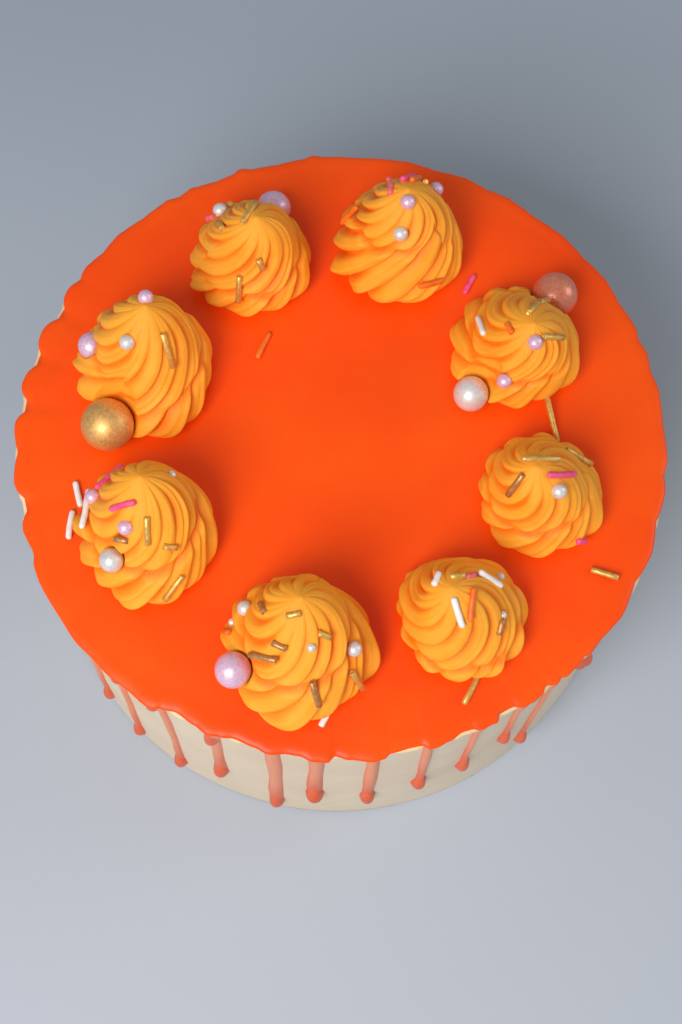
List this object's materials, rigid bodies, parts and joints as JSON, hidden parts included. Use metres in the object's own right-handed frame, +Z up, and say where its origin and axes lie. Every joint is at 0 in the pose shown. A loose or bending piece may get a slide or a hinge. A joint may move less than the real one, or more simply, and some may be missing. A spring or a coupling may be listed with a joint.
{
  "type": "carrot cake",
  "caption": "Whole round iced carrot cake with an orange glaze dripping down its side and a ring of piped buttercream swirls topped with sugar pearls and rods.",
  "frame": {"origin": "middle of the flat underside", "axes": "+Z up, the front of the cake faces -Y, +X to its right"},
  "size_m": [0.2034, 0.2023, 0.143],
  "materials": {
    "ivory_buttercream": "smooth ivory buttercream, satin",
    "orange_glaze": "glossy orange mirror glaze, slightly see-through where thin",
    "orange_buttercream": "piped light orange buttercream, satin",
    "gold_sugar": "satin gold sugar coating",
    "pink_sugar": "pearly salmon pink sugar",
    "white_sugar": "pearly white sugar",
    "lilac_sugar": "pearly lilac sugar"
  },
  "bodies": {
    "root": {"cake": "ivory_buttercream", "glaze": "orange_glaze", "swirl_1": "orange_buttercream", "swirl_2": "orange_buttercream", "swirl_3": "orange_buttercream", "swirl_4": "orange_buttercream", "swirl_5": "orange_buttercream", "swirl_6": "orange_buttercream", "swirl_7": "orange_buttercream", "swirl_8": "orange_buttercream", "pearl_gold": "gold_sugar", "pearl_pink": "pink_sugar", "pearl_white_1": "white_sugar", "pearl_white_2": "white_sugar", "pearl_lilac_1": "lilac_sugar", "pearl_lilac_2": "lilac_sugar", "pearl_lilac_3": "lilac_sugar"}
  },
  "joints": []
}
